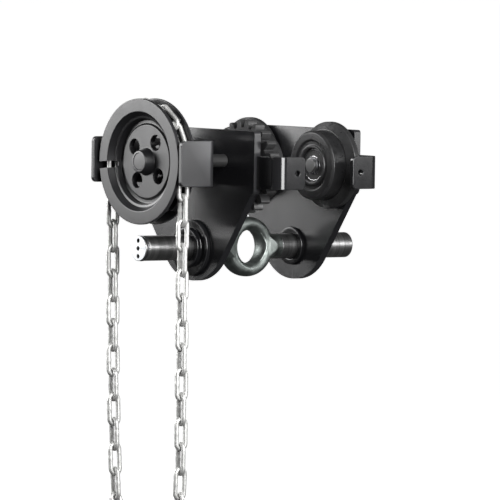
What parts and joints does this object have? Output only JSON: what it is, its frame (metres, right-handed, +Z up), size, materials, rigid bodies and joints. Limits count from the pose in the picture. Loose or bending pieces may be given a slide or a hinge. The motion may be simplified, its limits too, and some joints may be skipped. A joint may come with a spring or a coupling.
{
  "type": "hand chain geared beam trolley",
  "caption": "Hand-chain geared trolley that runs on a beam's lower flange, with a turnable load bar whose forged eye carries a hoist.",
  "frame": {"origin": "middle of the four wheels, at the height of the flange surface that their treads roll on", "axes": "+X along the beam, +Y across it from the hand wheel side to the plain side, +Z up"},
  "size_m": [0.262, 0.274, 0.454],
  "materials": {
    "black_paint": "gloss black paint",
    "handwheel_finish": "satin grey-black paint over cast iron",
    "grey_casting": "oiled dark cast",
    "dark_steel": "turned dark steel",
    "forged_steel": "forged and turned steel",
    "bright_steel": "ground steel",
    "spring_steel": "blackened spring steel",
    "bronze": "sintered bronze",
    "zinc": "zinc plated"
  },
  "bodies": {
    "near_frame": {"near_side_plate": "black_paint", "near_bar_bush": "black_paint", "near_axle_left": "dark_steel", "near_axle_right": "dark_steel", "near_circlip_left": "spring_steel", "near_circlip_right": "spring_steel", "near_bracket_left": "black_paint", "near_bracket_right": "black_paint", "guide_spacer_left": "black_paint", "guide_spacer_right": "black_paint", "guide_screw_left": "bright_steel", "guide_screw_right": "bright_steel", "shaft_housing": "black_paint", "shaft_bush_front": "bronze", "shaft_bush_rear": "bronze", "chain_guide": "black_paint", "chain_on_wheel": "zinc", "chain_loop": "zinc"},
    "hand_drive": {"handwheel": "handwheel_finish", "handwheel_key": "dark_steel", "drive_shaft": "dark_steel", "drive_pinion": "grey_casting", "pinion_circlip": "spring_steel"},
    "near_wheel_left": {"near_wheel_left": "grey_casting", "near_bearing_left": "bright_steel"},
    "near_wheel_right": {"near_wheel_right": "grey_casting", "near_bearing_right": "bright_steel"},
    "bar_stop": {"bar_stop_ring": "spring_steel"},
    "load_bar": {"load_bar": "forged_steel"},
    "far_frame": {"far_side_plate": "black_paint", "far_bar_bush": "black_paint", "far_axle_left": "dark_steel", "far_axle_right": "dark_steel", "far_circlip_left": "spring_steel", "far_circlip_right": "spring_steel", "far_bracket_left": "black_paint", "far_bracket_right": "black_paint"},
    "far_wheel_left": {"far_wheel_left": "grey_casting", "far_bearing_left": "bright_steel"},
    "far_wheel_right": {"far_wheel_right": "grey_casting", "far_bearing_right": "bright_steel"}
  },
  "joints": [
    {"name": "handwheel_spin", "type": "hinge", "parent": "near_frame", "child": "hand_drive", "pos_m": [0, -0.13, 0.0384], "axis": [0, 1, 0], "continuous": true},
    {"name": "near_wheel_left_spin", "type": "hinge", "parent": "near_frame", "child": "near_wheel_left", "pos_m": [-0.064, -0.045, 0.035], "axis": [0, 1, 0], "continuous": true},
    {"name": "near_wheel_right_spin", "type": "hinge", "parent": "near_frame", "child": "near_wheel_right", "pos_m": [0.064, -0.045, 0.035], "axis": [0, 1, 0], "continuous": true},
    {"name": "bar_travel", "type": "slide", "parent": "near_frame", "child": "bar_stop", "axis": [0, 1, 0], "range_m": [-0.0081, 0.0401]},
    {"name": "bar_turn", "type": "hinge", "parent": "bar_stop", "child": "load_bar", "pos_m": [0, 0, -0.049], "axis": [0, 1, 0], "range_deg": [-722, 3602]},
    {"name": "far_frame_travel", "type": "slide", "parent": "near_frame", "child": "far_frame", "axis": [0, 1, 0], "range_m": [-0.016, 0.08]},
    {"name": "far_wheel_left_spin", "type": "hinge", "parent": "far_frame", "child": "far_wheel_left", "pos_m": [-0.064, 0.045, 0.035], "axis": [0, 1, 0], "continuous": true},
    {"name": "far_wheel_right_spin", "type": "hinge", "parent": "far_frame", "child": "far_wheel_right", "pos_m": [0.064, 0.045, 0.035], "axis": [0, 1, 0], "continuous": true}
  ],
  "couplings": [
    {"joint": "near_wheel_left_spin", "follows": "handwheel_spin", "ratio": -0.45454},
    {"joint": "near_wheel_right_spin", "follows": "handwheel_spin", "ratio": -0.45454},
    {"joint": "bar_travel", "follows": "far_frame_travel", "ratio": 0.5},
    {"joint": "bar_turn", "follows": "far_frame_travel", "rad_per_m": 785.4}
  ]
}
